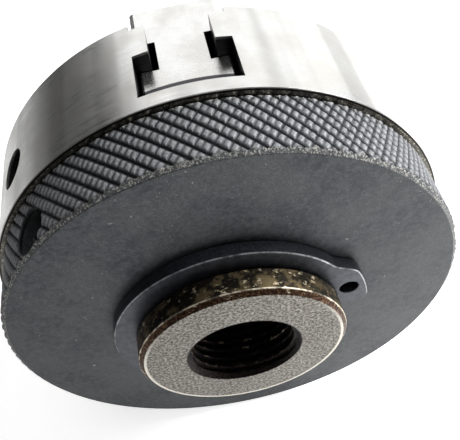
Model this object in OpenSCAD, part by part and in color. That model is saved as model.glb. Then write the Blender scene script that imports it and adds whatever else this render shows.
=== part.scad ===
// Hand-tightened self-centring scroll chuck with three jaws. It screws onto a lathe or drill spindle.
// The spin axis is +Y, from the threaded hub at the rear towards the jaws at the front.
// The origin is on that axis, in the plane of the hub's rear face.
// Jaw 1 points to +Z. Azimuths are angles about the spin axis, from +Z towards +X.

/* [Body] */
// Outer diameter of the chuck body
body_d = 50; // [49:0.5:54]
// Distance from the hub's rear face to the body's front face
front_y = 25.1; // [24.7:0.1:27]
// Diameter of the clear hole through the body's front half
through_d = 10; // [6:0.5:10.5]
// Width of the bevels on the body's front and rear edges
body_bevel = 0.5; // [0.2:0.1:0.8]

/* [Hub] */
// Outer diameter of the hub that the scroll ring turns on
hub_d = 22; // [21.4:0.1:22.4]
// Distance that the hub stands out behind the scroll ring
hub_out = 4.6; // [4.1:0.1:4.9]
// Width of the bevel on the hub's rear edge
hub_bevel = 0.5; // [0.3:0.05:1]

/* [Spindle thread] */
// Diameter of the thread's crests, the tapping size of a metric M12 x 1 thread
thread_crest_d = 10.92; // [10.6:0.01:11]
// Diameter of the thread's roots
thread_root_d = 12; // [11.8:0.05:12.2]
// Pitch of the thread
thread_pitch = 1; // [0.75, 1]
// Number of turns in the thread
thread_turns = 11; // [8:1:11]

/* [Scroll ring] */
// Outer diameter of the ring over its knurl
ring_d = 48.8; // [48:0.1:49.6]
// Height of the ring's knurled band along the spin axis
ring_h = 6.95; // [6.5:0.05:7.1]
// Radial thickness of the scroll's ridge
ridge_t = 1.35; // [1.1:0.05:1.4]
// Running clearance between the ring and the hub, on the radius
ring_fit = 0.05; // [0.03:0.01:0.1]
// Azimuth of the first bar hole in the ring
ring_hole_az = -44; // [-60:1:60]

/* [Jaws] */
// Distance from the spin axis to each jaw's tip at rest
tip_r = 3.4; // [3.2:0.1:4]
// Length of each jaw from its tip to its outer end
jaw_l = 19.2; // [18.6:0.1:19.6]
// Width of each jaw's head, in front of the guide grooves
head_w = 9.4; // [9:0.1:9.4]
// Width of each jaw's foot, behind the guide grooves
foot_w = 9; // [8.6:0.1:9.2]
// Height of each jaw's lowest step above the body's front face
low_step_h = 5; // [4:0.5:6]
// Rise from each step to the next higher one
step_rise = 3.8; // [3:0.1:4]

/* [Retaining clip] */
// Thickness of the clip
clip_t = 1.5; // [1.2:0.1:1.5]
// Diameter of the groove that the clip sits in
groove_d = 21; // [20.6:0.1:21.2]
// Azimuth of the middle of the clip's gap
clip_gap_az = 104; // [90:0.5:140]

/* [Bar holes] */
// Azimuth of the first bar hole in the body
body_hole_az = 69; // [50:1:70]
// Diameter of the bar holes in the body and in the ring
bar_hole_d = 4.4; // [4:0.1:4.6]
// Depth of the bar holes
bar_hole_depth = 7; // [5:0.5:8]

/* [Hidden] */
$fn = 96;
overlap = 0.01;                          // how far joined cuts run into each other
over = 1;                                // how far a cut runs past the surface that it opens

jaw_count = 3;
jaw_turn = 360 / jaw_count;
body_r = body_d / 2;
hub_r = hub_d / 2;
ring_r = ring_d / 2;

// Stations along the spin axis, from the rear to the front
ring_y0 = hub_out;                       // rear face of the scroll ring
ring_y1 = ring_y0 + ring_h;              // front edge of its knurled band
rim_y = ring_y1 + 0.1;                   // rear edge of the body's rim
boss_y = 12.5;                           // rear face of the body's boss, which takes the ring's thrust
scroll_face_y = 13.3;                    // face that the scroll's ridge stands on
slot_floor_y = 13.4;                     // floor of the jaw slots where they cross the rim
tooth_tip_y = 13.65;                     // rear ends of the jaws' teeth
ridge_top_y = 14.9;                      // front of the scroll's ridge
recess_y = 15.15;                        // end of the body's recess round the scroll
foot_y = 15.25;                          // bottom of the spaces between the jaws' teeth
tongue_y0 = 19.5;                        // rear faces of the guide tongues in the slots
tongue_y1 = 23.8;                        // front faces of the guide tongues
slide_gap = 0.1;                         // clearance of the jaws on the tongues
ring_hole_y = ring_y0 + 2.6;
body_hole_y = 17.5;

// Radii of the recess and of what turns in it
recess_r = 22.8;
scroll_out_r = 22.45;
scroll_in_r = 13.5;
boss_r = 13.2;
thrust_gap = 0.05;                       // play between the ring's thrust land and the body's boss

// Bevels of the ring's knurled band
ring_rear_bevel = [0.55, 0.4];            // radial, axial
ring_front_bevel = 0.12;
rim_bevel = 0.12;                        // on the rear edge of the body's rim

// Threaded bore
crest_r = thread_crest_d / 2;
root_r = thread_root_d / 2;
crest_flat = thread_pitch / 4;
root_flat = thread_pitch / 8;
thread_y0 = 0.75;                        // first crest, at the end of the mouth's bevel
thread_y1 = thread_y0 + thread_turns * thread_pitch + crest_flat;
mouth_r = crest_r + 0.62;

// Jaw slots
slot_w = 9.6;                            // width for the jaw's foot and head
tongue_gap_w = 6.4;                      // opening between the two tongues
neck_w = 5.1;                            // width of the jaw between its guide grooves
tooth_w = 8.3;                           // width of the jaw's teeth, behind its foot

// Jaw tips, whose sides are planes at half the angle between two jaws
tip_w = 2.4;
tip_back = (head_w - tip_w) / 2 / tan(jaw_turn / 2);
jaw_bevel = 0.3;
end_bevel = 0.45;                        // on the upright edges of a jaw's outer end
step_count = 3;
step_l = jaw_l / step_count;
function step_top(i) = front_y + low_step_h + (step_count - 1 - i) * step_rise;

// Scroll: one Archimedean ridge, square at both ends. Its pitch is the jaws' travel for one turn.
scroll_pitch = 3;
facet_deg = 6;
ridge_r0 = scroll_in_r + ridge_t / 2 + 0.05;
ridge_r1 = scroll_out_r - ridge_t / 2 - 0.05;
ridge_deg = floor((ridge_r1 - ridge_r0) / scroll_pitch * 360 / facet_deg) * facet_deg;

// Jaw teeth, which have the same play on both flanks of the ridge
mesh_r = 17.55;                          // a tooth of jaw 1 sits here at rest, midway between two turns
tooth_play = 0.2;
tooth_t = scroll_pitch - ridge_t - 2 * tooth_play;
convex_r = 12.6;                         // outer flanks, tighter than the scroll's inner turn
hollow_r = 24;                           // inner flanks, wider than the scroll's outer turn
ridge_az0 = (ridge_r1 - mesh_r - scroll_pitch / 2) / scroll_pitch * 360;

// Retaining clip: an eccentric band with an ear at each end
clip_y1 = ring_y0 - 0.05;
clip_y0 = clip_y1 - clip_t;
groove_play = 0.05;                      // play between the clip and the front side of its groove
groove_gap = 0.35;                       // open part of the groove behind the clip
clip_in_r = groove_d / 2 + 0.03;
clip_out_r = 13;
clip_shift = 0.3;                       // how far the band's outline is off centre, away from the gap
half_gap_deg = 16.5;
ear_deg = 25.5;
ear_mid_deg = half_gap_deg + ear_deg / 2;
ear_out_r = 14.1;
ear_hole_r = 12.35;                      // distance of the plier holes from the spin axis
ear_hole_d = 2.1;

// Turns a solid about the spin axis, from azimuth 0 to azimuth a.
module at_azimuth(a) {
    rotate([0, a, 0]) children();
}

// Moves what was made round +Z onto the spin axis: +Z becomes +Y, +X becomes +Z.
module along_spin_axis() {
    multmatrix([[0, 1, 0, 0], [0, 0, 1, 0], [1, 0, 0, 0], [0, 0, 0, 1]]) children();
}

// A solid of revolution about the spin axis, from [radius, y] points.
module turned(points) {
    along_spin_axis() rotate_extrude() polygon(points);
}

// A disc round a line parallel to the spin axis, from y0 to y1, with its centre at distance z above it.
module disc(r, y0, y1, z = 0) {
    translate([0, y0, z]) rotate([-90, 0, 0]) cylinder(r = r, h = y1 - y0);
}

// An upright prism at azimuth 0 from y0 to y1, from [x, z] points.
module prism(points, y0, y1) {
    translate([0, y1, 0]) rotate([90, 0, 0]) linear_extrude(y1 - y0) polygon(points);
}

// A bar hole at azimuth 0, from an outer surface of radius r inwards.
module bar_hole(y, r) {
    translate([0, y, r - bar_hole_depth]) cylinder(d = bar_hole_d, h = bar_hole_depth + over);
}

// One stretch of a jaw slot at azimuth 0, of width w, from the spin axis out through the rim.
module channel(w, y0, y1) {
    translate([-w / 2, y0, 0]) cube([w, y1 - y0, body_r + over]);
}

module jaw_slot() {
    channel(slot_w, slot_floor_y, tongue_y0);
    channel(tongue_gap_w, tongue_y0 - overlap, tongue_y1 + overlap);
    channel(slot_w, tongue_y1, front_y + over);
}

// Wall of the threaded bore as [radius, y] points: a flat crest, then a V with a narrow root, each turn.
function thread_wall() = [
    for (i = [0 : thread_turns - 1])
        let (y = thread_y0 + i * thread_pitch, slope = (thread_pitch - crest_flat - root_flat) / 2)
        each [[crest_r, y], [crest_r, y + crest_flat],
              [root_r, y + crest_flat + slope], [root_r, y + crest_flat + slope + root_flat]],
    [crest_r, thread_y1 - crest_flat], [crest_r, thread_y1]
];

function body_outline() = concat(
    [[mouth_r, 0]],
    thread_wall(),
    [[through_d / 2, thread_y1 + crest_r - through_d / 2],
     [through_d / 2, front_y - body_bevel], [through_d / 2 + body_bevel, front_y],
     [body_r - body_bevel, front_y], [body_r, front_y - body_bevel],
     [body_r, rim_y + rim_bevel], [body_r - rim_bevel, rim_y],
     [recess_r, rim_y], [recess_r, recess_y], [boss_r, recess_y], [boss_r, boss_y], [hub_r, boss_y]],
    [[hub_r, clip_y1 + groove_play], [groove_d / 2, clip_y1 + groove_play],
     [groove_d / 2, clip_y0 - groove_gap], [hub_r, clip_y0 - groove_gap],
     [hub_r, hub_bevel], [hub_r - hub_bevel, 0]]
);

module chuck_body() {
    color([0.80, 0.80, 0.78])
    difference() {
        turned(body_outline());
        for (i = [0 : jaw_count - 1]) {
            at_azimuth(i * jaw_turn) jaw_slot();
            at_azimuth(body_hole_az + i * jaw_turn) bar_hole(body_hole_y, body_r);
        }
    }
}

// One side of the ridge as [z, x] points. Its radius falls as the azimuth grows, so a turn of the ring
// in the positive direction about the spin axis drives the jaws outwards.
function ridge_side(offset, angles) = [
    for (a = angles)
        let (r = ridge_r1 - scroll_pitch * a / 360 + offset)
        r * [cos(a - ridge_az0), sin(a - ridge_az0)]
];

module scroll_ridge() {
    root_y = scroll_face_y - 0.2;
    outer = ridge_side(ridge_t / 2, [0 : facet_deg : ridge_deg]);
    inner = ridge_side(-ridge_t / 2, [ridge_deg : -facet_deg : 0]);
    translate([0, root_y, 0])
        along_spin_axis() linear_extrude(ridge_top_y - root_y) polygon(concat(outer, inner));
}

module scroll_ring() {
    bore_r = hub_r + ring_fit;
    land_y = boss_y - thrust_gap;
    color([0.20, 0.21, 0.22])
    union() {
        difference() {
            turned([
                [bore_r, ring_y0], [ring_r - ring_rear_bevel[0], ring_y0],
                [ring_r, ring_y0 + ring_rear_bevel[1]], [ring_r, ring_y1 - ring_front_bevel],
                [ring_r - ring_front_bevel, ring_y1],
                [scroll_out_r, ring_y1], [scroll_out_r, scroll_face_y], [scroll_in_r, scroll_face_y],
                [scroll_in_r, land_y], [bore_r, land_y]
            ]);
            for (i = [0 : jaw_count - 1]) at_azimuth(ring_hole_az + i * jaw_turn) bar_hole(ring_hole_y, ring_r);
        }
        scroll_ridge();
    }
}

// An ear of the clip before its hole is made, with its middle at azimuth 0.
module clip_ear() {
    ear_w = 2 * ear_out_r * sin(ear_deg / 2);
    intersection() {
        translate([-ear_w / 2, clip_y0, ear_out_r / 2]) cube([ear_w, clip_t, ear_out_r]);
        disc(ear_out_r, clip_y0 - over, clip_y1 + over);
    }
}

module retaining_clip() {
    gap_reach = 2 * ear_out_r * [sin(half_gap_deg), cos(half_gap_deg)];
    color([0.16, 0.17, 0.19])
    at_azimuth(clip_gap_az) difference() {
        union() {
            disc(clip_out_r, clip_y0, clip_y1, -clip_shift);
            for (side = [-1, 1]) at_azimuth(side * ear_mid_deg) clip_ear();
        }
        disc(clip_in_r, clip_y0 - over, clip_y1 + over);
        prism([[0, 0], gap_reach, [-gap_reach[0], gap_reach[1]]], clip_y0 - over, clip_y1 + over);
        for (side = [-1, 1])
            at_azimuth(side * ear_mid_deg) disc(ear_hole_d / 2, clip_y0 - over, clip_y1 + over, ear_hole_r);
    }
}

// Side outline of the jaw as [radius from the tip, y] points, with its highest step at the tip.
function jaw_side() = concat(
    [[0, tooth_tip_y], [0, step_top(0) - jaw_bevel], [jaw_bevel, step_top(0)]],
    [for (i = [0 : step_count - 1]) each [
        if (i > 0) [i * step_l, step_top(i)],
        [(i + 1) * step_l - jaw_bevel, step_top(i)],
        [(i + 1) * step_l, step_top(i) - jaw_bevel]
    ]],
    [[jaw_l, tooth_tip_y]]
);

// Outline of the jaw seen from the front as [x, radius from the tip] points.
function jaw_front() = [
    [-tip_w / 2, 0], [tip_w / 2, 0], [head_w / 2, tip_back],
    [head_w / 2, jaw_l - end_bevel], [head_w / 2 - end_bevel, jaw_l],
    [end_bevel - head_w / 2, jaw_l], [-head_w / 2, jaw_l - end_bevel], [-head_w / 2, tip_back]
];

// Cuts one side of the jaw away from y0 to y1, down to width w.
module side_cut(side, w, y0, y1) {
    translate([side > 0 ? w / 2 : -w / 2 - head_w, y0, -over]) cube([head_w, y1 - y0, jaw_l + 2 * over]);
}

// Cuts the space between the tooth at radius r0 and the tooth at radius r1. A tooth's outer flank is
// convex and its inner flank hollow, so the space lies outside a tight disc and inside a wide one.
module tooth_space(r0, r1) {
    y0 = tooth_tip_y - over;
    difference() {
        intersection() {
            translate([-slot_w, y0, r0]) cube([2 * slot_w, foot_y - y0, r1 - r0]);
            disc(hollow_r, y0 - over, foot_y + over, r1 - tooth_t / 2 - hollow_r);
        }
        disc(convex_r, y0 - over, foot_y + over, r0 + tooth_t / 2 - convex_r);
    }
}

// Radii of the whole teeth of jaw k. Each jaw's teeth are a third of the pitch further in than the last's.
function tooth_radii(k) = [
    for (n = [-6 : 3])
        let (r = mesh_r + (n - k / jaw_count) * scroll_pitch)
        if (r > tip_r + tooth_t + 0.35 && r < tip_r + jaw_l - tooth_t / 2 - 0.25) r
];

// Jaw k, at azimuth 0.
module jaw(k) {
    teeth = tooth_radii(k);
    last = len(teeth) - 1;
    top_y = step_top(0) + over;
    foot_top_y = tongue_y0 - slide_gap;
    color([0.78, 0.78, 0.77])
    difference() {
        translate([0, 0, tip_r]) difference() {
            intersection() {
                multmatrix([[0, 0, 1, -head_w], [0, 1, 0, 0], [1, 0, 0, 0], [0, 0, 0, 1]])
                    linear_extrude(2 * head_w) polygon(jaw_side());
                prism(jaw_front(), tooth_tip_y - over, top_y);
            }
            for (side = [-1, 1]) {
                side_cut(side, tooth_w, tooth_tip_y - over, foot_y);
                side_cut(side, foot_w, foot_y - overlap, foot_top_y);
                side_cut(side, neck_w, foot_top_y - overlap, tongue_y1 + slide_gap);
            }
        }
        for (i = [0 : last - 1]) tooth_space(teeth[i], teeth[i + 1]);
        tooth_space(teeth[0] - 2 * scroll_pitch, teeth[0]);
        tooth_space(teeth[last], teeth[last] + 2 * scroll_pitch);
    }
}

module jaw_1() { jaw(0); }
module jaw_2() { at_azimuth(jaw_turn) jaw(1); }
module jaw_3() { at_azimuth(2 * jaw_turn) jaw(2); }

chuck_body();
scroll_ring();
retaining_clip();
jaw_1();
jaw_2();
jaw_3();
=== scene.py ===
"""The looks of a small three-jaw scroll chuck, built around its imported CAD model.

Lengths in the mesh code and the materials are millimetres in the frame's own axes, and become metres when
a mesh is made. The floor and the lights are laid out in metres. The spin axis is +Y. Azimuth is the angle
about it, from +Z (jaw 1) towards +X.
"""

import math

import bmesh
import bpy
import numpy as np
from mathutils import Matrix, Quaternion, Vector


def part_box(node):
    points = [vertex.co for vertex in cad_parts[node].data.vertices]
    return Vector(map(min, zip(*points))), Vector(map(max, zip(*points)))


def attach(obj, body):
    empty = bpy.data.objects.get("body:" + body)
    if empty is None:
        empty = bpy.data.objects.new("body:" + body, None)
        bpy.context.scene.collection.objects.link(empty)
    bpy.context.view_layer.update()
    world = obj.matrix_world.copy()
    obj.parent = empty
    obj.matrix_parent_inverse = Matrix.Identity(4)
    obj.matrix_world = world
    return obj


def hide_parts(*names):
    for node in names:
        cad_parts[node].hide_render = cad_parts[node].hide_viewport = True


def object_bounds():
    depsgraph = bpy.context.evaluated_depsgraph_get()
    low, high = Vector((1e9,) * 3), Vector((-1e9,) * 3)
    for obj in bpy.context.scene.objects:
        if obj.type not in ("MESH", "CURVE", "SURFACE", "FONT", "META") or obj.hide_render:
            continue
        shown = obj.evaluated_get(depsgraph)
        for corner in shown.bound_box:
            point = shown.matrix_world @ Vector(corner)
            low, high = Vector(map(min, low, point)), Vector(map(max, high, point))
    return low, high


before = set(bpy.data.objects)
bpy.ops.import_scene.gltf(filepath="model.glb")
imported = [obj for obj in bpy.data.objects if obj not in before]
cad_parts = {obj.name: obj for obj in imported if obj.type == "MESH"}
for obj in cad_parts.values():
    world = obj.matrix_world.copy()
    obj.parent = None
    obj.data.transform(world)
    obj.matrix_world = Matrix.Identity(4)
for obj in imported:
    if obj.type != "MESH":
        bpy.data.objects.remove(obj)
cad_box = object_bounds()

MM = 0.001
TURN = 2 * math.pi
JAW_COUNT = 3
EDGE_BREAK = 0.12


def box_mm(node):
    """Lowest and highest corner of a CAD node, in millimetres."""
    low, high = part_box(node)
    return low / MM, high / MM


body_high = box_mm("chuck_body")[1]
ring_low, ring_high = box_mm("scroll_ring")
clip_low, clip_high = box_mm("retaining_clip")

# Body, hub and their stations along the spin axis
BODY_R = body_high.x
FRONT_Y = body_high.y
THROUGH_R = 5.0
BODY_BEVEL = 0.5
HUB_R = 11.0
HUB_BEVEL = 0.5
GROOVE_R = 10.5
GROOVE_PLAY = 0.05
GROOVE_GAP = 0.35
RIM_Y = 11.65
RIM_BEVEL = 0.12
RECESS_R = 22.8
RECESS_Y = 15.15
BOSS_R = 13.2
BOSS_Y = 12.5

# Spindle thread
THREAD_Y0 = 0.75
THREAD_PITCH = 1.0
THREAD_TURNS = 11
CREST_R = 5.46
ROOT_R = 6.0
MOUTH_R = 6.08
ROWS_A_TURN = 14

# Jaw slots, as seen along the slot
SLOT_W = 9.6
SLOT_FLOOR_Y = 13.4
TONGUE_GAP_W = 6.4
TONGUE_Y0 = 19.5
TONGUE_Y1 = 23.8

# Jaws, as seen along the slot
JAW_END_R = box_mm("jaw_1")[1].z
JAW_FLAT_W = 8.5
# top of the painted shade low on a jaw's outer end
END_SHADE_Y = 17.0
NECK_W = 5.1

# Scroll ring
RING_R = ring_high.x
RING_Y0 = ring_low.y
RING_Y1 = RIM_Y - 0.1
RING_BORE_R = 11.05
REAR_BEVEL_R = 0.55
REAR_BEVEL_Y = 0.4
FRONT_BEVEL = 0.12
SCROLL_OUT_R = 22.45
SCROLL_IN_R = 13.5
SCROLL_FACE_Y = 13.3
LAND_Y = 12.45
RIDGE_TOP_Y = ring_high.y
RIDGE_T = 1.35
RIDGE_GAP = 0.05
SCROLL_PITCH = 3.0
MESH_R = 17.55

# Bar holes
BAR_HOLE_R = 2.2
BAR_HOLE_DEPTH = 7.0
BAR_HOLE_POINT = 0.8
BODY_HOLE_Y = 17.5
BODY_HOLE_AZ = 69
RING_HOLE_Y = RING_Y0 + 2.6
RING_HOLE_AZ = -44
RING_HOLE_SINK = 0.35

# Retaining clip
CLIP_IN_R = 10.53
CLIP_OUT_R = 13.0
CLIP_SHIFT = 0.3
CLIP_GAP_AZ = 104
HALF_GAP_DEG = 16.5
EAR_DEG = 25.5
EAR_OUT_R = 14.1
EAR_FLARE_DEG = 14
EAR_FLARE_PAST_DEG = 9
EAR_CORNER_DEG = 3.0
EAR_CORNER = 0.6
EAR_HOLE_R = 12.35
PLIER_HOLE_R = 1.05
CLIP_EDGE = 0.14
CLIP_EDGE_BREAK = 0.08

# Knurl: two crossing families of V grooves. OPEN is the share of a groove's spacing that it takes up
KNURL_A_COUNT = 98
KNURL_A_ANGLE = -48
KNURL_A_DEPTH = 0.3
KNURL_A_OPEN = 0.48
KNURL_B_COUNT = 176
KNURL_B_ANGLE = 56
KNURL_B_DEPTH = 0.2
KNURL_B_OPEN = 0.58
KNURL_B_SHALLOW = 0.72
KNURL_COLUMNS = 10 * KNURL_A_COUNT
KNURL_STEP = 0.145


# ---------------------------------------------------------------- mesh helpers

def polar(radius, azimuth, y):
    """Points in millimetres from arrays of radius, azimuth in radians and y."""
    radius, azimuth, y = np.broadcast_arrays(radius, azimuth, y)
    return np.stack([radius * np.sin(azimuth), y, radius * np.cos(azimuth)], axis=-1)


def mesh_object(name, points, faces):
    """A new object from points in millimetres, with its normals outwards."""
    mesh = bpy.data.meshes.new(name)
    mesh.from_pydata((np.asarray(points, float) * MM).tolist(), [], faces)
    work = bmesh.new()
    work.from_mesh(mesh)
    bmesh.ops.recalc_face_normals(work, faces=work.faces)
    work.to_mesh(mesh)
    work.free()
    made = bpy.data.objects.new(name, mesh)
    bpy.context.scene.collection.objects.link(made)
    return made


def closed_grid(name, points):
    """A ring-shaped solid from a grid of points that closes on itself in both directions."""
    rows, columns = points.shape[:2]
    faces = []
    for i in range(rows):
        here = i * columns
        there = ((i + 1) % rows) * columns
        for j in range(columns):
            k = (j + 1) % columns
            faces.append((here + j, here + k, there + k, there + j))
    return mesh_object(name, points.reshape(-1, 3), faces)


def prism_between(name, outline, start, end, place):
    """A prism from a flat outline of (u, v) points. place(u, v, w) gives a point, w from start to end."""
    count = len(outline)
    points = [place(u, v, w) for w in (start, end) for u, v in outline]
    faces = [tuple(range(count)), tuple(range(2 * count - 1, count - 1, -1))]
    for i in range(count):
        k = (i + 1) % count
        faces.append((i, count + i, count + k, k))
    return mesh_object(name, points, faces)


def swept_solid(name, sections):
    """A solid swept through a row of matching closed sections, with a flat face at each end."""
    side = len(sections[0])
    last = len(sections) - 1
    points = [point for section in sections for point in section]
    faces = [tuple(range(side)), tuple(range(last * side, (last + 1) * side))]
    for i in range(last):
        for j in range(side):
            k = (j + 1) % side
            faces.append((i * side + j, (i + 1) * side + j, (i + 1) * side + k, i * side + k))
    return mesh_object(name, points, faces)


def turned_plug(name, profile, azimuth, y):
    """A solid of revolution about the radial line at an azimuth and y.

    The profile has (distance from that line, distance from the spin axis) points; its ends lie on the line.
    """
    out = Vector((math.sin(azimuth), 0, math.cos(azimuth)))
    side = Vector((math.cos(azimuth), 0, -math.sin(azimuth)))
    along = Vector((0, 1, 0))
    steps = 64
    points = [out * profile[0][1] + along * y, out * profile[-1][1] + along * y]
    for across, height in profile[1:-1]:
        for i in range(steps):
            angle = TURN * (i + 0.5) / steps
            level = along * (y + across * math.sin(angle))
            points.append(out * height + level + side * across * math.cos(angle))
    rows = len(profile) - 2
    faces = []
    for i in range(steps):
        k = (i + 1) % steps
        faces.append((0, 2 + k, 2 + i))
        faces.append((1, 2 + (rows - 1) * steps + i, 2 + (rows - 1) * steps + k))
        for row in range(rows - 1):
            low = 2 + row * steps
            faces.append((low + i, low + k, low + steps + k, low + steps + i))
    return mesh_object(name, points, faces)


def combine(target, others, operation):
    """Applies a boolean of each other object to the target and removes those objects."""
    for other in others:
        modifier = target.modifiers.new(operation.lower(), "BOOLEAN")
        modifier.operation = operation
        modifier.solver = "MANIFOLD"
        modifier.object = other
    graph = bpy.context.evaluated_depsgraph_get()
    result = bpy.data.meshes.new_from_object(target.evaluated_get(graph))
    target.modifiers.clear()
    target.data = result
    for other in others:
        bpy.data.objects.remove(other)


def break_edges(piece, width, keep=lambda point: True, angle=30):
    """Rounds the piece's sharp edges whose middle, a point in millimetres, passes the keep test."""
    work = bmesh.new()
    work.from_mesh(piece.data)
    bmesh.ops.dissolve_degenerate(work, dist=1e-7, edges=work.edges)
    weight = work.edges.layers.float.new("bevel_weight_edge")
    limit = math.radians(angle)
    for edge in work.edges:
        middle = (edge.verts[0].co + edge.verts[1].co) / (2 * MM)
        if len(edge.link_faces) == 2 and edge.calc_face_angle() > limit and keep(middle):
            edge[weight] = 1
    work.to_mesh(piece.data)
    work.free()
    bevel = piece.modifiers.new("edge_break", "BEVEL")
    bevel.limit_method = "WEIGHT"
    bevel.width = width * MM
    bevel.segments = 2
    bevel.use_clamp_overlap = True
    finish_normals(piece)


def finish_normals(piece):
    """Shades the piece smooth except across sharp edges, with normals led by its large faces."""
    piece.data.shade_smooth()
    weighted = piece.modifiers.new("normals", "WEIGHTED_NORMAL")
    weighted.keep_sharp = True
    weighted.weight = 80
    piece.data.set_sharp_from_angle(angle=math.radians(35))


# ---------------------------------------------------------------- chuck body

def thread_radius(y, azimuth):
    """Radius of the right-hand thread's wall, with its mouth's bevel and its run-out at the far end."""
    crest_flat = 1 / 4
    root_flat = 1 / 8
    place = ((y - THREAD_Y0) / THREAD_PITCH - azimuth / TURN) % 1
    slope = (1 - crest_flat - root_flat) / 2
    share = np.clip((0.5 - crest_flat / 2 - np.abs(place - 0.5)) / slope, 0, 1)
    end_y = THREAD_Y0 + THREAD_TURNS * THREAD_PITCH
    fade = np.clip((end_y - y) / THREAD_PITCH, 0, 1)
    mouth = MOUTH_R + (CREST_R - MOUTH_R) * y / THREAD_Y0
    return np.maximum(CREST_R + (ROOT_R - CREST_R) * share * fade, mouth)


def body_grid():
    """The body's turned surface: the threaded bore, then the outline round its front, rim, boss and hub."""
    end_y = THREAD_Y0 + (THREAD_TURNS + 0.25) * THREAD_PITCH
    row_count = round(end_y / THREAD_PITCH * ROWS_A_TURN)
    thread_y = np.linspace(0, end_y, row_count + 1)
    outline = np.array([
        (THROUGH_R, end_y + CREST_R - THROUGH_R),
        (THROUGH_R, FRONT_Y - BODY_BEVEL), (THROUGH_R + BODY_BEVEL, FRONT_Y),
        (BODY_R - BODY_BEVEL, FRONT_Y), (BODY_R, FRONT_Y - BODY_BEVEL),
        (BODY_R, RIM_Y + RIM_BEVEL), (BODY_R - RIM_BEVEL, RIM_Y),
        (RECESS_R, RIM_Y), (RECESS_R, RECESS_Y), (BOSS_R, RECESS_Y), (BOSS_R, BOSS_Y), (HUB_R, BOSS_Y),
        (HUB_R, clip_high.y + GROOVE_PLAY), (GROOVE_R, clip_high.y + GROOVE_PLAY),
        (GROOVE_R, clip_low.y - GROOVE_GAP), (HUB_R, clip_low.y - GROOVE_GAP),
        (HUB_R, HUB_BEVEL), (HUB_R - HUB_BEVEL, 0),
    ])
    columns = 240
    azimuth = np.arange(columns) * TURN / columns
    bore = polar(thread_radius(thread_y[:, None], azimuth[None, :]), azimuth, thread_y[:, None])
    rest = polar(outline[:, :1], azimuth, outline[:, 1:])
    return np.concatenate([bore, rest])


def slot_cutter(azimuth):
    """The space of one jaw slot, with its two guide tongues, from the spin axis out past the rim."""
    half = SLOT_W / 2
    gap = TONGUE_GAP_W / 2
    side = [(half, SLOT_FLOOR_Y), (half, TONGUE_Y0), (gap, TONGUE_Y0), (gap, TONGUE_Y1), (half, TONGUE_Y1),
            (half, FRONT_Y + 1)]
    outline = side + [(-x, y) for x, y in reversed(side)]
    out = Vector((math.sin(azimuth), 0, math.cos(azimuth)))
    across = Vector((math.cos(azimuth), 0, -math.sin(azimuth)))
    return prism_between("cutter", outline, 0, BODY_R + 1,
                         lambda u, v, w: across * u + Vector((0, v, 0)) + out * w)


def bar_hole_cutter(azimuth, y, mouth_r, countersink=0):
    """A drilled bar hole with a shallow point at its bottom, and a countersunk mouth if asked."""
    floor = mouth_r - BAR_HOLE_DEPTH
    past = mouth_r + 1
    profile = [(0, floor), (BAR_HOLE_R, floor + BAR_HOLE_POINT)]
    if countersink:
        profile += [(BAR_HOLE_R, mouth_r - countersink), (BAR_HOLE_R + countersink + 1, past)]
    else:
        profile += [(BAR_HOLE_R, past)]
    return turned_plug("cutter", profile + [(0, past)], azimuth, y)


def make_body():
    """The body with its helical thread, its three slots and its three bar holes."""
    body = closed_grid("chuck_body_steel", body_grid())
    slots = [slot_cutter(i * TURN / JAW_COUNT) for i in range(JAW_COUNT)]
    first = math.radians(BODY_HOLE_AZ)
    holes = [bar_hole_cutter(first + i * TURN / JAW_COUNT, BODY_HOLE_Y, BODY_R) for i in range(JAW_COUNT)]
    combine(body, slots + holes, "DIFFERENCE")

    def outside_thread(point):
        past_thread = point.y > THREAD_Y0 + (THREAD_TURNS + 1) * THREAD_PITCH
        return math.hypot(point.x, point.z) > ROOT_R + 0.3 or past_thread

    break_edges(body, EDGE_BREAK, keep=outside_thread)
    return body


# ---------------------------------------------------------------- scroll ring

def groove_depth(azimuth, y, count, angle, depth, open_share):
    """Depth of one family of V grooves, which lie at an angle in degrees, and the number of the groove."""
    spacing = TURN * RING_R / count
    shift = y / math.tan(math.radians(angle))
    place = (azimuth * RING_R - shift) / spacing
    away = np.abs(place - np.round(place)) * 2
    return depth * np.clip(1 - away / open_share, 0, 1), np.round(place)


def knurl_radius(azimuth, y):
    """Radius of the knurled band: what both families of grooves leave, within the band's end bevels."""
    first, _ = groove_depth(azimuth, y, KNURL_A_COUNT, KNURL_A_ANGLE, KNURL_A_DEPTH, KNURL_A_OPEN)
    second, number = groove_depth(azimuth, y, KNURL_B_COUNT, KNURL_B_ANGLE, KNURL_B_DEPTH, KNURL_B_OPEN)
    second = second * np.where(number % 2 == 0, 1.0, KNURL_B_SHALLOW)
    cut = np.maximum(first, second)
    rear = RING_R - REAR_BEVEL_R + REAR_BEVEL_R / REAR_BEVEL_Y * (y - RING_Y0)
    front = RING_R - FRONT_BEVEL + (RING_Y1 - y)
    return np.minimum(RING_R - cut, np.minimum(rear, front))


def ring_grid():
    """The ring's turned surface, with the knurl on its band."""
    azimuth = np.arange(KNURL_COLUMNS) * TURN / KNURL_COLUMNS
    row_count = round((RING_Y1 - RING_Y0) / KNURL_STEP)
    band_y = np.linspace(RING_Y0, RING_Y1, row_count + 1)
    band = polar(knurl_radius(azimuth[None, :], band_y[:, None]), azimuth, band_y[:, None])
    outline = np.array([
        (SCROLL_OUT_R, RING_Y1), (SCROLL_OUT_R, SCROLL_FACE_Y), (SCROLL_IN_R, SCROLL_FACE_Y),
        (SCROLL_IN_R, LAND_Y), (RING_BORE_R, LAND_Y), (RING_BORE_R, RING_Y0),
    ])
    rest = polar(outline[:, :1], azimuth, outline[:, 1:])
    return np.concatenate([band, rest])


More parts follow.
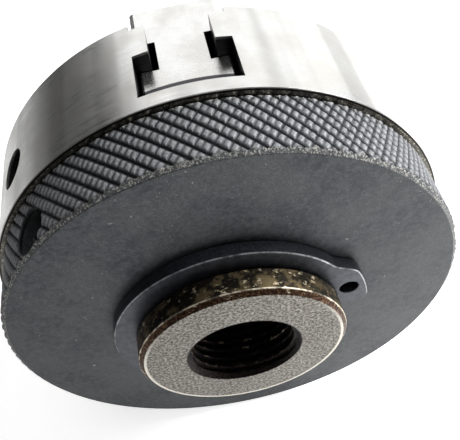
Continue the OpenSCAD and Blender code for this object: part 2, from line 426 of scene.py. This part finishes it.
def scroll_ridge():
    """The scroll's single spiral ridge. Its radius falls as the azimuth grows."""
    half = RIDGE_T / 2
    start_r = SCROLL_OUT_R - half - RIDGE_GAP
    end_r = SCROLL_IN_R + half + RIDGE_GAP
    step_deg = 2
    whole_deg = 3 * step_deg
    turn_deg = (start_r - end_r) / SCROLL_PITCH * 360 // whole_deg * whole_deg
    start_az = (start_r - MESH_R - SCROLL_PITCH / 2) / SCROLL_PITCH * TURN
    root_y = SCROLL_FACE_Y - 0.2
    edge = EDGE_BREAK
    outline = [(half, root_y), (half, RIDGE_TOP_Y - edge), (half - edge, RIDGE_TOP_Y),
               (edge - half, RIDGE_TOP_Y), (-half, RIDGE_TOP_Y - edge), (-half, root_y)]
    swept = np.radians(np.linspace(0, turn_deg, int(turn_deg / step_deg) + 1))
    middle = start_r - SCROLL_PITCH * swept / TURN
    sections = [[polar(radius + offset, angle - start_az, y) for offset, y in outline]
                for angle, radius in zip(swept, middle)]
    return swept_solid("ridge", sections)


def make_ring():
    """The ring with its scroll and its three bar holes."""
    ring = closed_grid("scroll_ring_black", ring_grid())
    combine(ring, [scroll_ridge()], "UNION")
    first = math.radians(RING_HOLE_AZ)
    holes = [bar_hole_cutter(first + i * TURN / JAW_COUNT, RING_HOLE_Y, RING_R, RING_HOLE_SINK)
             for i in range(JAW_COUNT)]
    combine(ring, holes, "DIFFERENCE")

    def plain_edge(point):
        radius = math.hypot(point.x, point.z)
        on_ridge = SCROLL_IN_R < radius and point.y > SCROLL_FACE_Y + 0.1
        return radius < SCROLL_OUT_R + 0.1 and not on_ridge

    break_edges(ring, EDGE_BREAK, keep=plain_edge)
    return ring


# ---------------------------------------------------------------- retaining clip

def clip_outline(turned_deg):
    """Outer radius of the clip at an angle in degrees from the middle of its gap.

    The band is an eccentric ring, thickest opposite the gap, and flares into an ear at each end.
    """
    angle = math.radians(turned_deg)
    band = CLIP_OUT_R - CLIP_SHIFT * math.cos(angle)
    from_end = min(turned_deg, 360 - turned_deg) - HALF_GAP_DEG
    flare = max(0.0, min(1.0, (EAR_DEG + EAR_FLARE_PAST_DEG - from_end) / EAR_FLARE_DEG))
    ear = band + (EAR_OUT_R - band) * flare * flare * (3 - 2 * flare)
    corner = max(0.0, 1 - from_end / EAR_CORNER_DEG)
    return ear - EAR_CORNER * (1 - math.sqrt(1 - corner * corner))


def clip_section(turned_deg):
    """The clip's cross-section at an angle in degrees from the middle of its gap, with its edges broken."""
    low, high, edge = clip_low.y, clip_high.y, CLIP_EDGE
    inner, outer = CLIP_IN_R, clip_outline(turned_deg)
    outline = [(inner, low + edge), (inner + edge, low), (outer - edge, low), (outer, low + edge),
               (outer, high - edge), (outer - edge, high), (inner + edge, high), (inner, high - edge)]
    azimuth = math.radians(CLIP_GAP_AZ + turned_deg)
    return [polar(radius, azimuth, y) for radius, y in outline]


def make_clip():
    """The clip with the rounded edges of a stamping, and its two plier holes."""
    steps = 220
    band_deg = 360 - 2 * HALF_GAP_DEG
    sections = [clip_section(HALF_GAP_DEG + band_deg * i / steps) for i in range(steps + 1)]
    clip = swept_solid("retaining_clip_blued", sections)
    circle = [(PLIER_HOLE_R * math.cos(t), PLIER_HOLE_R * math.sin(t)) for t in np.arange(48) * TURN / 48]
    holes = []
    for sign in (-1, 1):
        azimuth = math.radians(CLIP_GAP_AZ + sign * (HALF_GAP_DEG + EAR_DEG / 2))
        middle = polar(EAR_HOLE_R, azimuth, 0)
        holes.append(prism_between("cutter", circle, clip_low.y - 1, clip_high.y + 1,
                                   lambda u, v, w, m=middle: (m[0] + u, w, m[2] + v)))
    combine(clip, holes, "DIFFERENCE")
    break_edges(clip, CLIP_EDGE_BREAK, angle=50)
    return clip


# ---------------------------------------------------------------- jaws

def soften_cad(node, width):
    """Rounds the edges of a CAD node's shown shape."""
    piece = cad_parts[node]
    weld = piece.modifiers.new("weld", "WELD")
    weld.merge_threshold = 1e-6
    flat = piece.modifiers.new("flat_faces", "DECIMATE")
    flat.decimate_type = "DISSOLVE"
    flat.angle_limit = math.radians(1.5)
    bevel = piece.modifiers.new("edge_break", "BEVEL")
    bevel.limit_method = "ANGLE"
    bevel.angle_limit = math.radians(30)
    bevel.width = width * MM
    bevel.segments = 2
    finish = piece.modifiers.new("normals", "WEIGHTED_NORMAL")
    finish.weight = 80
    return piece


# ---------------------------------------------------------------- materials

class Finish:
    """A node-based material round one Principled shader. Its texture space is in millimetres."""

    def __init__(self, name):
        self.material = bpy.data.materials.new(name)
        self.material.use_nodes = True
        self.tree = self.material.node_tree
        self.shader = self.tree.nodes["Principled BSDF"]
        place = self.node("ShaderNodeTexCoord").outputs["Object"]
        self.place = self.vector("SCALE", place, scale=1 / MM)
        self.x, self.y, self.z = self.split(self.place)
        flat = self.join(self.x, 0, self.z)
        self.radius = self.vector("LENGTH", flat)
        self.around = self.vector("NORMALIZE", flat)

    def node(self, kind, inputs=None, **settings):
        made = self.tree.nodes.new(kind)
        for key, value in settings.items():
            setattr(made, key, value)
        for socket, value in (inputs or {}).items():
            self.feed(made.inputs[socket], value)
        return made

    def feed(self, socket, value):
        """Links a socket to another node's output, or gives it a constant."""
        if isinstance(value, bpy.types.NodeSocket):
            self.tree.links.new(value, socket)
        else:
            socket.default_value = value

    def set(self, **values):
        """Sets or links the shader's sockets, named with _ for a space."""
        for key, value in values.items():
            self.feed(self.shader.inputs[key.replace("_", " ")], value)

    def vector(self, operation, first, second=None, scale=None):
        made = self.node("ShaderNodeVectorMath", {0: first}, operation=operation)
        if second is not None:
            self.feed(made.inputs[1], second)
        if scale is not None:
            self.feed(made.inputs["Scale"], scale)
        return made.outputs["Value" if operation in ("LENGTH", "DOT_PRODUCT") else "Vector"]

    def math(self, operation, first, second=0.0, third=0.0):
        made = self.node("ShaderNodeMath", {0: first, 1: second, 2: third}, operation=operation)
        return made.outputs[0]

    def split(self, vector):
        return self.node("ShaderNodeSeparateXYZ", {0: vector}).outputs[:3]

    def join(self, x, y, z):
        return self.node("ShaderNodeCombineXYZ", {0: x, 1: y, 2: z}).outputs[0]

    def noise(self, vector, scale, detail, roughness, distortion=0.0):
        """A noise's value, with features about 1 / scale across."""
        made = self.node("ShaderNodeTexNoise", {"Vector": vector, "Scale": scale, "Detail": detail,
                                                "Roughness": roughness, "Distortion": distortion})
        return made.outputs["Fac"]

    def band(self, value, low, high, to_low=0.0, to_high=1.0):
        """A smooth step: to_low where value is at or under low, to_high where it is at or over high."""
        made = self.node("ShaderNodeMapRange", {"Value": value, "From Min": low, "From Max": high,
                                                "To Min": to_low, "To Max": to_high},
                         interpolation_type="SMOOTHSTEP")
        return made.outputs["Result"]

    def mix(self, share, first, second):
        """A colour between two colours."""
        made = self.node("ShaderNodeMix", data_type="RGBA")
        for index, value in ((0, share), (6, first), (7, second)):
            if isinstance(value, tuple):
                value = (*value, 1.0)
            self.feed(made.inputs[index], value)
        return made.outputs[2]

    def bump(self, height, distance):
        """A normal from a height whose full range stands distance millimetres tall."""
        made = self.node("ShaderNodeBump", {"Height": height, "Distance": distance * MM, "Strength": 1.0})
        return made.outputs["Normal"]

    def stretched(self, along, y, out):
        """Texture space for a turned surface, with scales round the axis, along it and outwards."""
        ring = self.vector("SCALE", self.around, scale=along)
        spread = self.join(self.math("MULTIPLY", self.radius, out), self.math("MULTIPLY", self.y, y), 0.0)
        return self.vector("ADD", ring, spread)


def shaded_slots(f, tone):
    """The body's tone, with painted shade, near black, inside the slots and the bar holes."""
    inside = f.band(f.radius, BODY_R - 0.35, BODY_R - 0.15, 1.0, 0.0)
    inside = f.math("MULTIPLY", inside, f.band(f.y, SLOT_FLOOR_Y - 0.4, SLOT_FLOOR_Y - 0.2))
    inside = f.math("MULTIPLY", inside, f.band(f.y, FRONT_Y - 0.6, FRONT_Y - 0.3, 1.0, 0.0))
    # painted shade: the body near black inside the slots and the bar holes
    return f.mix(f.math("MULTIPLY", inside, 0.93), tone, (0.018, 0.018, 0.026))


def shaded_rim(f, tone):
    """The body's tone, with painted shade on the rim's rear face, which is specked bright, and near-black
    painted shade on its outer edge beside the ring.
    """
    rim_face = f.math("MULTIPLY", f.band(f.y, RIM_Y + 0.02, RIM_Y + 0.08, 1.0, 0.0),
                      f.band(f.radius, HUB_R + 1, HUB_R + 2))
    bright_specks = f.noise(f.place, 4.5, 3, 0.6)
    # painted shade: the rim's rear face, between the body and the ring, dark and specked bright
    rim_shade = f.mix(f.band(bright_specks, 0.54, 0.64), (0.11, 0.105, 0.095), (0.42, 0.39, 0.31))
    # painted shade: near black on the rim's outer edge, in the gap beside the ring
    rim_shade = f.mix(f.band(f.radius, BODY_R - 0.30, BODY_R - 0.22), rim_shade, (0.020, 0.018, 0.015))
    return f.mix(rim_face, tone, rim_shade)


def hub_wear_and_highlights(f, pits, stain):
    """The hub's tone: a worn face with a painted highlight on the low side of its rim, a brown bevel with a
    painted highlight along its edge, and a mottled side.
    """
    flecks = f.noise(f.stretched(12, 1.6, 1.6), 1.0, 5, 0.7)
    face = f.mix(f.band(pits, 0.38, 0.64), (0.075, 0.068, 0.058), (0.31, 0.295, 0.265))
    face = f.mix(f.band(stain, 0.45, 0.75, 0.0, 0.4), face, (0.10, 0.075, 0.055))
    # painted highlight: a bright line round the face's rim, on its low side only
    rim_r = HUB_R - HUB_BEVEL
    rim = f.math("MULTIPLY", f.band(f.radius, rim_r - 0.35, rim_r - 0.15), f.band(f.z, 0.0, 8.0, 0.8, 0.0))
    face = f.mix(rim, face, (0.78, 0.74, 0.66))
    bevel = f.mix(f.band(pits, 0.45, 0.65), (0.030, 0.016, 0.010), (0.16, 0.09, 0.05))
    bevel = f.mix(f.band(flecks, 0.60, 0.68), bevel, (0.70, 0.60, 0.44))
    side = f.mix(f.band(stain, 0.45, 0.62), (0.018, 0.016, 0.013), (0.13, 0.10, 0.055))
    side = f.mix(f.band(flecks, 0.57, 0.66), side, (0.62, 0.53, 0.37))
    on_bevel = f.band(f.y, 0.01, 0.05)
    on_side = f.band(f.y, HUB_BEVEL - 0.06, HUB_BEVEL + 0.02)
    # painted highlight: a bright line where the bevel meets the side, broken by the flecks
    edge = f.math("MULTIPLY", f.band(f.y, HUB_BEVEL - 0.10, HUB_BEVEL - 0.02),
                  f.band(f.y, HUB_BEVEL + 0.04, HUB_BEVEL + 0.12, 1.0, 0.0))
    hub = f.mix(on_side, f.mix(on_bevel, face, bevel), side)
    return f.mix(f.math("MULTIPLY", edge, f.band(flecks, 0.40, 0.55, 0.1, 0.95)), hub, (0.80, 0.72, 0.58))


def darkened_bore_and_groove(f, pits, stain, hub):
    """The hub's tone, with painted shade in the clip groove, a dark brown to near-black bore, and painted
    highlights on some thread crests.
    """
    in_bore = f.band(f.radius, ROOT_R + 0.08, ROOT_R + 0.20, 1.0, 0.0)
    dark_bore_tone = f.mix(f.band(pits, 0.35, 0.7), (0.006, 0.006, 0.008), (0.030, 0.022, 0.017))
    # painted highlights: some thread crests made bright
    crest = f.band(f.radius, CREST_R + 0.03, CREST_R + 0.10, 1.0, 0.0)
    crest = f.math("MULTIPLY", crest, f.band(stain, 0.56, 0.66, 0.0, 0.8))
    dark_bore_tone = f.mix(crest, dark_bore_tone, (0.50, 0.40, 0.30))
    hub = f.mix(in_bore, hub, dark_bore_tone)
    # painted shade: near black in the clip groove
    groove = f.math("MULTIPLY", f.band(f.radius, HUB_R - 0.25, HUB_R - 0.1, 1.0, 0.0),
                    f.band(f.y, 1.5, 1.8))
    return f.mix(f.math("MULTIPLY", groove, f.math("SUBTRACT", 1.0, in_bore)), hub, (0.012, 0.012, 0.013))


def ground_steel():
    """The body: ground steel with painted reflection streaks round it, painted shade in its slots, bar holes,
    clip groove and rim, and a brown-stained hub and dark bore with painted highlights.
    """
    f = Finish("ground_steel_turned")
    lines = f.noise(f.stretched(6, 9, 9), 1.0, 6, 0.65)
    broad = f.noise(f.place, 0.22, 4, 0.6)
    streaks = f.noise(f.stretched(7, 0.01, 0.0), 1.0, 2, 0.5)
    specks = f.noise(f.place, 3.0, 3, 0.6)
    pits = f.noise(f.place, 3.4, 4, 0.7)
    stain = f.noise(f.place, 0.8, 5, 0.65)
    tone = f.mix(f.band(broad, 0.35, 0.7), (0.62, 0.62, 0.61), (0.54, 0.53, 0.50))
    # painted reflection: darker streaks along the axis on the body's round
    on_round = f.band(f.y, FRONT_Y - BODY_BEVEL - 0.1, FRONT_Y - BODY_BEVEL, 1.0, 0.0)
    streaked = f.math("MULTIPLY", on_round, f.band(streaks, 0.44, 0.64, 0.0, 0.55))
    tone = f.mix(streaked, tone, (0.33, 0.325, 0.31))
    tone = f.mix(f.band(specks, 0.68, 0.8, 0.0, 0.4), tone, (0.28, 0.25, 0.22))
    tone = shaded_rim(f, shaded_slots(f, tone))
    on_hub = f.math("MULTIPLY", f.band(f.radius, BOSS_R - 1.0, BOSS_R - 0.9, 1.0, 0.0),
                    f.band(f.y, BOSS_Y, BOSS_Y + 0.5, 1.0, 0.0))
    tone = f.mix(on_hub, tone, darkened_bore_and_groove(f, pits, stain, hub_wear_and_highlights(f, pits, stain)))
    rough = f.math("ADD", f.band(lines, 0.3, 0.7, 0.22, 0.36), f.band(broad, 0.3, 0.7, 0.0, 0.08))
    rough = f.math("ADD", rough, f.math("MULTIPLY", on_hub, f.band(pits, 0.35, 0.7, 0.24, 0.08)))
    height = f.math("ADD", lines, f.math("MULTIPLY", on_hub, f.math("MULTIPLY", pits, 6.0)))
    f.set(Base_Color=tone, Metallic=1.0, Roughness=rough, Normal=f.bump(height, 0.003))
    return f.material


def knurl_wear_and_shade(f, tone, on_band, grain, fine):
    """The ring's tone, with painted shade making the band's grooves black, its crests lightened, partly worn
    and partly a painted sheen, and its ends lightened, partly worn and partly a painted highlight.
    """
    rear_edge = f.band(f.y, RING_Y0 + 0.3, RING_Y0 + 0.5, 1.0, 0.0)
    front_edge = f.band(f.y, RING_Y1 - 0.35, RING_Y1 - 0.2)
    crest = f.band(f.radius, RING_R - 0.08, RING_R - 0.02)
    # painted shade: the knurl's grooves near black
    groove = f.math("MULTIPLY", f.band(f.radius, RING_R - 0.20, RING_R - 0.09, 1.0, 0.0),
                    f.math("SUBTRACT", 1.0, rear_edge))
    band_tone = f.mix(f.band(fine, 0.35, 0.65), (0.060, 0.062, 0.068), (0.125, 0.13, 0.135))
    tone = f.mix(on_band, tone, band_tone)
    # crests lightened: partly worn metal and partly a painted sheen
    wear_and_sheen = f.math("MULTIPLY", crest, f.band(grain, 0.34, 0.58, 0.25, 1.0))
    tone = f.mix(wear_and_sheen, tone, (0.25, 0.255, 0.265))
    # the band's ends lightened: partly worn and partly a painted highlight
    ends = f.math("MULTIPLY", f.math("ADD", rear_edge, front_edge), on_band)
    tone = f.mix(f.math("MULTIPLY", ends, f.band(grain, 0.50, 0.62)), tone, (0.46, 0.45, 0.41))
    return f.mix(f.math("MULTIPLY", groove, on_band), tone, (0.008, 0.008, 0.010))


def black_oxide():
    """The ring: blackened steel, matte on its face, with its knurl's crests lightened, partly worn and partly
    a painted sheen, and painted shade in the knurl's grooves.
    """
    f = Finish("black_oxide_knurled")
    grain = f.noise(f.place, 6.0, 3, 0.7)
    fine = f.noise(f.place, 1.6, 5, 0.75)
    broad = f.noise(f.place, 0.16, 5, 0.65)
    tone = f.mix(f.band(broad, 0.34, 0.66), (0.026, 0.032, 0.039), (0.074, 0.078, 0.080))
    tone = f.mix(f.band(fine, 0.36, 0.66, 0.0, 0.8), tone, (0.098, 0.102, 0.106))
    tone = f.mix(f.band(grain, 0.42, 0.60, 0.55, 0.0), tone, (0.016, 0.018, 0.022))
    drawn_out = f.join(f.math("MULTIPLY", f.x, 0.25), 0.0, f.math("MULTIPLY", f.z, 5.0))
    scratches = f.noise(drawn_out, 1.0, 4, 0.7, 0.6)
    tone = f.mix(f.band(scratches, 0.66, 0.74, 0.0, 0.5), tone, (0.24, 0.25, 0.25))
    nicks = f.noise(f.place, 1.7, 2, 0.5, 1.5)
    tone = f.mix(f.band(nicks, 0.73, 0.78, 0.0, 0.8), tone, (0.42, 0.42, 0.40))
    on_band = f.band(f.radius, RING_R - REAR_BEVEL_R + 0.02, RING_R - REAR_BEVEL_R + 0.1)
    tone = knurl_wear_and_shade(f, tone, on_band, grain, fine)
    rough = f.math("ADD", f.band(grain, 0.3, 0.7, 0.38, 0.58), f.math("MULTIPLY", on_band, 0.12))
    f.set(Base_Color=tone, Metallic=0.6, Roughness=rough, Normal=f.bump(grain, 0.016))
    return f.material


def spring_steel():
    """The clip: blue-black tempered steel, worn lighter on its rear face, with a painted highlight along its
    rear edges.
    """
    f = Finish("blued_spring_steel")
    grain = f.noise(f.place, 5.0, 4, 0.6)
    wear_and_sheen = f.noise(f.place, 1.4, 4, 0.7)
    tone = f.mix(f.band(grain, 0.3, 0.7), (0.022, 0.024, 0.030), (0.050, 0.054, 0.064))
    rear = clip_low.y
    face = f.band(f.y, rear + 0.01, rear + 0.04, 1.0, 0.0)
    tone = f.mix(f.math("MULTIPLY", face, f.band(wear_and_sheen, 0.3, 0.7, 0.1, 0.8)), tone, (0.080, 0.085, 0.098))
    # painted highlight: a thin bright line along the rear edges
    edge = f.math("MULTIPLY", f.band(f.y, rear + 0.01, rear + 0.04),
                  f.band(f.y, rear + 0.10, rear + 0.15, 1.0, 0.0))
    tone = f.mix(f.math("MULTIPLY", edge, f.band(wear_and_sheen, 0.35, 0.6, 0.2, 1.0)), tone, (0.42, 0.43, 0.44))
    rough = f.band(grain, 0.3, 0.7, 0.3, 0.48)
    f.set(Base_Color=tone, Metallic=0.8, Roughness=rough, Normal=f.bump(grain, 0.006))
    return f.material


def jaw_shade(f, length, width):
    """The share of painted shade on a jaw: on its sides where it runs in its slot, and low on its outer end,
    below the body's rim.
    """
    half = f.math("ABSOLUTE", width)
    level = f.math("MULTIPLY_ADD", f.math("MULTIPLY", width, width), 0.028, f.y)
    low_end = f.math("MULTIPLY", f.band(level, END_SHADE_Y - 0.08, END_SHADE_Y + 0.04, 1.0, 0.0),
                     f.band(length, JAW_END_R - 0.4, JAW_END_R - 0.2))
    foot = f.math("MULTIPLY", f.band(half, JAW_FLAT_W / 2 + 0.12, JAW_FLAT_W / 2 + 0.18),
                  f.band(f.y, TONGUE_Y0, TONGUE_Y0 + 0.1, 1.0, 0.0))
    neck = f.math("MULTIPLY", f.band(half, NECK_W / 2 - 0.06, NECK_W / 2 - 0.02),
                  f.math("MULTIPLY", f.band(f.y, TONGUE_Y0 - 0.14, TONGUE_Y0 - 0.11),
                         f.band(f.y, TONGUE_Y1 + 0.11, TONGUE_Y1 + 0.14, 1.0, 0.0)))
    return f.math("MAXIMUM", f.math("MAXIMUM", low_end, foot), neck)


def jaw_steel(azimuth):
    """A jaw: hardened steel ground along its length, which points outwards at its azimuth."""
    f = Finish("jaw_steel_ground")
    out = (math.sin(azimuth), 0.0, math.cos(azimuth))
    across = (math.cos(azimuth), 0.0, -math.sin(azimuth))
    length = f.vector("DOT_PRODUCT", f.place, out)
    width = f.vector("DOT_PRODUCT", f.place, across)
    drawn_out = f.join(f.math("MULTIPLY", length, 0.4), f.math("MULTIPLY", width, 7.0),
                       f.math("MULTIPLY", f.y, 7.0))
    lines = f.noise(drawn_out, 1.0, 5, 0.6)
    broad = f.noise(f.place, 0.3, 4, 0.6)
    tone = f.mix(f.band(broad, 0.35, 0.7), (0.62, 0.62, 0.61), (0.52, 0.51, 0.49))
    painted_jaw_shade = jaw_shade(f, length, width)
    # painted shade: the jaw near black in its slot and low on its outer end
    tone = f.mix(f.math("MULTIPLY", painted_jaw_shade, 0.94), tone, (0.020, 0.020, 0.026))
    rough = f.band(lines, 0.3, 0.7, 0.22, 0.36)
    f.set(Base_Color=tone, Metallic=1.0, Roughness=rough, Normal=f.bump(lines, 0.004))
    return f.material


def floor_paper():
    """The plain pale surface under the chuck, with painted light glowing at its front, brighter to the right,
    and painted light seen only by the camera that whitens it, most far off.
    """
    f = Finish("pale_paper")
    # painted light: the floor glows at the front, brighter to the right
    front = f.band(f.y, -10.0, 60.0, 1.0, 0.0)
    painted_glow = f.math("MULTIPLY", front, f.band(f.x, -50.0, 60.0, 0.05, 0.95))
    # painted light: the floor glows for the camera only, stronger far off
    seen = f.node("ShaderNodeLightPath").outputs["Is Camera Ray"]
    far = f.band(f.vector("LENGTH", f.place), 150.0, 700.0, 0.45, 1.0)
    strength = f.math("ADD", painted_glow, f.math("MULTIPLY", seen, far))
    f.set(Base_Color=(0.92, 0.92, 0.92, 1.0), Roughness=0.6)
    f.set(Emission_Color=(1.0, 1.0, 1.0, 1.0), Emission_Strength=strength)
    return f.material


# ---------------------------------------------------------------- studio

def add_floor():
    """A flat square under the chuck."""
    half = 3.0
    corners = [(-half, -half), (half, -half), (half, half), (-half, half)]
    mesh = bpy.data.meshes.new("floor")
    mesh.from_pydata([(x, y, 0) for x, y in corners], [], [(0, 1, 2, 3)])
    floor = bpy.data.objects.new("floor", mesh)
    floor.location.z = cad_box[0].z
    mesh.materials.append(floor_paper())
    bpy.context.scene.collection.objects.link(floor)


def add_area_light(name, place, size, watts, aim):
    """A soft box that lights and is reflected, but isn't seen by the camera itself."""
    light = bpy.data.lights.new(name, "AREA")
    light.shape = "RECTANGLE"
    light.size, light.size_y = size
    light.energy = watts
    lamp = bpy.data.objects.new(name, light)
    lamp.location = place
    lamp.rotation_mode = "QUATERNION"
    lamp.rotation_quaternion = (Vector(aim) - Vector(place)).to_track_quat("-Z", "Y")
    lamp.visible_camera = False
    bpy.context.scene.collection.objects.link(lamp)


def add_world(seen, lit):
    """A white backdrop to the camera, and a dimmer grey room to everything that it lights."""
    world = bpy.data.worlds.new("soft_room")
    world.use_nodes = True
    tree = world.node_tree
    sky = tree.nodes["Background"]
    sky.inputs["Color"].default_value = (1.0, 1.0, 1.0, 1.0)
    path = tree.nodes.new("ShaderNodeLightPath")
    level = tree.nodes.new("ShaderNodeMapRange")
    level.inputs["To Min"].default_value = lit
    level.inputs["To Max"].default_value = seen
    tree.links.new(path.outputs["Is Camera Ray"], level.inputs["Value"])
    tree.links.new(level.outputs["Result"], sky.inputs["Strength"])
    bpy.context.scene.world = world


def add_camera():
    """A close view down onto the threaded end, with the camera rolled a little clockwise."""
    place = Vector((-1.32, -28.99, 58.13)) * MM
    aim = Vector((-0.76, 9.02, 11.44)) * MM
    roll = math.radians(-11.3)
    lens = bpy.data.cameras.new("camera")
    lens.lens = 47.556
    lens.shift_x = 0.0437
    lens.clip_start = 0.001
    camera = bpy.data.objects.new("camera", lens)
    camera.location = place
    camera.rotation_mode = "QUATERNION"
    camera.rotation_quaternion = (aim - place).to_track_quat("-Z", "Y") @ Quaternion((0, 0, 1), roll)
    bpy.context.scene.collection.objects.link(camera)
    bpy.context.scene.camera = camera


# ---------------------------------------------------------------- assembly

def finish_piece(piece, material):
    """Gives the piece its only material."""
    piece.data.materials.clear()
    piece.data.materials.append(material)


body = make_body()
finish_piece(body, ground_steel())
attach(body, "body")
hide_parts("chuck_body")

ring = make_ring()
finish_piece(ring, black_oxide())
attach(ring, "ring")
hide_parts("scroll_ring")

clip = make_clip()
finish_piece(clip, spring_steel())
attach(clip, "body")
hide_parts("retaining_clip")

for index in range(JAW_COUNT):
    jaw = soften_cad(f"jaw_{index + 1}", EDGE_BREAK)
    finish_piece(jaw, jaw_steel(index * TURN / JAW_COUNT))

add_camera()
add_floor()
add_world(1.0, 0.08)
add_area_light("panel_behind", (0.125, 0.4, 0.21), (0.59, 0.47), 1.45, (0.125, 0, 0.21))
add_area_light("overhead", (-0.02, -0.05, 0.6), (0.5, 0.5), 1.3, (0, 0, 0))
add_area_light("key_right", (0.3, 0.05, 0.2), (0.15, 0.15), 2.3, (0.02, -0.01, -0.02))
bpy.context.scene.view_settings.view_transform = "Standard"
